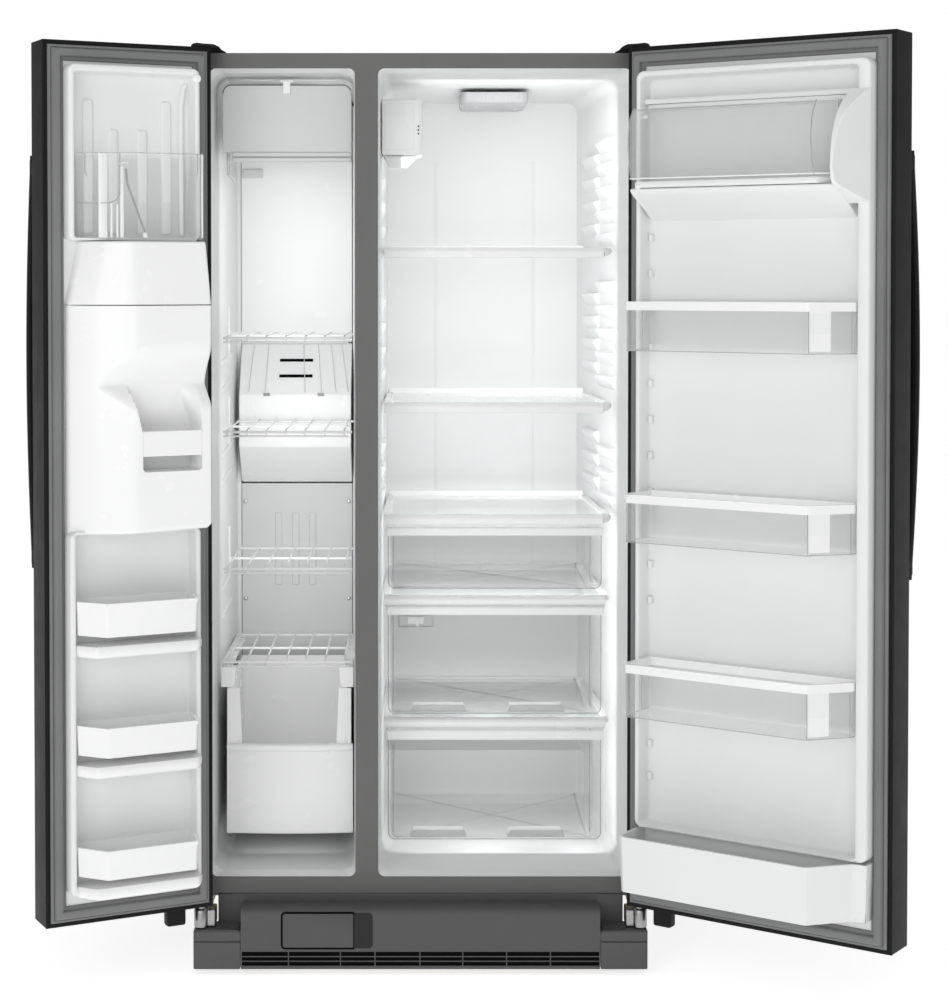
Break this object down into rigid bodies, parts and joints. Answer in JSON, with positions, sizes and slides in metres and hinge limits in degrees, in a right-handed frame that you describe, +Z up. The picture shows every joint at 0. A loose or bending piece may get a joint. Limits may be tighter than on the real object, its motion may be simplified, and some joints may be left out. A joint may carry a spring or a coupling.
{
  "type": "side by side refrigerator",
  "caption": "Tall fridge-freezer with two side-hinged doors, glass and wire shelves, drawers, door bins, an ice and water dispenser and a toe grille.",
  "frame": {"origin": "on the floor, below the middle of the cabinet's front edge, under the front cross rail", "axes": "+X across the front to the right, +Y from the front to the back, +Z up"},
  "size_m": [1.5763, 1.1421, 1.702],
  "materials": {
    "painted_shell": "gloss",
    "painted_cabinet": "satin",
    "galvanised": "satin",
    "zinc_hinge": "satin",
    "liner_white": "satin",
    "foam": "matte",
    "gasket_grey": "matte",
    "grille_grey": "satin",
    "black_plastic": "satin",
    "white_plastic": "satin",
    "clear_plastic": "gloss",
    "shelf_glass": "gloss",
    "lens": "satin",
    "coated_wire": "satin",
    "compressor_black": "satin",
    "coil_metal": "satin",
    "steel_screw": "satin",
    "grey_panel": "satin",
    "roller_plastic": "matte",
    "brass_fitting": "satin"
  },
  "bodies": {
    "cabinet": {"cabinet_wrapper": "painted_cabinet", "front_flange": "painted_cabinet", "freezer_liner": "liner_white", "fridge_liner": "liner_white", "insulation": "foam", "back_panel": "galvanised", "base_frame": "galvanised", "compressor_cover": "galvanised", "compressor": "compressor_black", "condenser": "coil_metal", "fan_motors": "compressor_black", "evaporator": "coil_metal", "freezer_upper_panel": "white_plastic", "evaporator_cover": "grey_panel", "freezer_lower_panel": "grey_panel", "panel_screws": "steel_screw", "ice_maker": "white_plastic", "ice_maker_shield": "grey_panel", "wire_shelves": "coated_wire", "control_box": "white_plastic", "light_lens": "lens", "shelf_frames": "white_plastic", "shelf_glass": "shelf_glass", "upper_crisper_cover": "white_plastic", "lower_crisper_cover": "white_plastic", "base_grille": "grille_grey", "water_filter": "white_plastic", "levelling_legs": "galvanised", "hinge_brackets": "zinc_hinge", "hinge_covers": "black_plastic", "water_inlet": "brass_fitting"},
    "freezer_bin": {"freezer_bin": "white_plastic"},
    "deli_drawer": {"deli_drawer": "clear_plastic"},
    "upper_crisper": {"upper_crisper": "clear_plastic"},
    "lower_crisper": {"lower_crisper": "clear_plastic"},
    "humidity_slider": {"humidity_slider": "grey_panel"},
    "filter_cover": {"filter_cover": "grille_grey"},
    "condenser_fan": {"condenser_fan": "black_plastic"},
    "evaporator_fan": {"evaporator_fan": "white_plastic"},
    "ice_maker_arm": {"ice_maker_arm": "steel_screw"},
    "front_rollers": {"front_rollers": "roller_plastic"},
    "rear_rollers": {"rear_rollers": "roller_plastic"},
    "freezer_door": {"freezer_door_shell": "painted_shell", "freezer_door_foam": "foam", "freezer_door_liner": "liner_white", "freezer_door_gasket": "gasket_grey", "freezer_door_handle": "black_plastic", "freezer_door_bins": "white_plastic", "ice_housing": "white_plastic", "ice_bin": "clear_plastic", "dispenser_recess": "black_plastic"},
    "dispenser_paddle": {"dispenser_paddle": "grey_panel"},
    "fridge_door": {"fridge_door_shell": "painted_shell", "fridge_door_foam": "foam", "fridge_door_liner": "liner_white", "fridge_door_gasket": "gasket_grey", "fridge_door_handle": "black_plastic", "fridge_door_bins": "clear_plastic", "bottom_bin": "white_plastic"},
    "dairy_cover": {"dairy_cover": "clear_plastic"}
  },
  "joints": [
    {"name": "freezer_door_hinge", "type": "hinge", "parent": "cabinet", "child": "freezer_door", "pos_m": [-0.402, -0.0405, 0.127], "axis": [0, 0, -1], "range_deg": [-153.35, 1.6]},
    {"name": "fridge_door_hinge", "type": "hinge", "parent": "cabinet", "child": "fridge_door", "pos_m": [0.402, -0.0405, 0.127], "axis": [0, 0, 1], "range_deg": [-145.08, 9.9]},
    {"name": "freezer_bin_slide", "type": "slide", "parent": "cabinet", "child": "freezer_bin", "axis": [0, -1, 0], "range_m": [0, 0.3]},
    {"name": "deli_drawer_slide", "type": "slide", "parent": "cabinet", "child": "deli_drawer", "axis": [0, -1, 0], "range_m": [0, 0.3]},
    {"name": "upper_crisper_slide", "type": "slide", "parent": "cabinet", "child": "upper_crisper", "axis": [0, -1, 0], "range_m": [0, 0.32]},
    {"name": "lower_crisper_slide", "type": "slide", "parent": "cabinet", "child": "lower_crisper", "axis": [0, -1, 0], "range_m": [0, 0.32]},
    {"name": "humidity_slide", "type": "slide", "parent": "upper_crisper", "child": "humidity_slider", "axis": [1, 0, 0], "range_m": [-0.014, 0.014]},
    {"name": "filter_cover_hinge", "type": "hinge", "parent": "cabinet", "child": "filter_cover", "pos_m": [-0.2499, -0.0595, 0.082], "axis": [0, 0, -1], "range_deg": [0, 100]},
    {"name": "condenser_fan_spin", "type": "hinge", "parent": "cabinet", "child": "condenser_fan", "pos_m": [-0.04, 0.61, 0.13], "axis": [1, 0, 0], "continuous": true},
    {"name": "evaporator_fan_spin", "type": "hinge", "parent": "cabinet", "child": "evaporator_fan", "pos_m": [-0.256, 0.5, 0.982], "axis": [0, 1, 0], "continuous": true},
    {"name": "ice_maker_arm_hinge", "type": "hinge", "parent": "cabinet", "child": "ice_maker_arm", "pos_m": [-0.363, 0.108, 1.545], "axis": [1, 0, 0], "range_deg": [0, 28]},
    {"name": "front_rollers_spin", "type": "hinge", "parent": "cabinet", "child": "front_rollers", "pos_m": [0, 0.096, 0.0226], "axis": [1, 0, 0], "continuous": true},
    {"name": "rear_rollers_spin", "type": "hinge", "parent": "cabinet", "child": "rear_rollers", "pos_m": [0, 0.64, 0.022], "axis": [1, 0, 0], "continuous": true},
    {"name": "dispenser_paddle_hinge", "type": "hinge", "parent": "freezer_door", "child": "dispenser_paddle", "pos_m": [-0.53563, -0.09749, 1.182], "axis": [-0.8938, -0.4485, 0], "range_deg": [0, 6], "stiffness_Nm_per_rad": 0.15},
    {"name": "dairy_cover_hinge", "type": "hinge", "parent": "fridge_door", "child": "dairy_cover", "pos_m": [0.56656, -0.2188, 1.56], "axis": [-0.82, 0.5724, 0], "range_deg": [0, 60]}
  ]
}
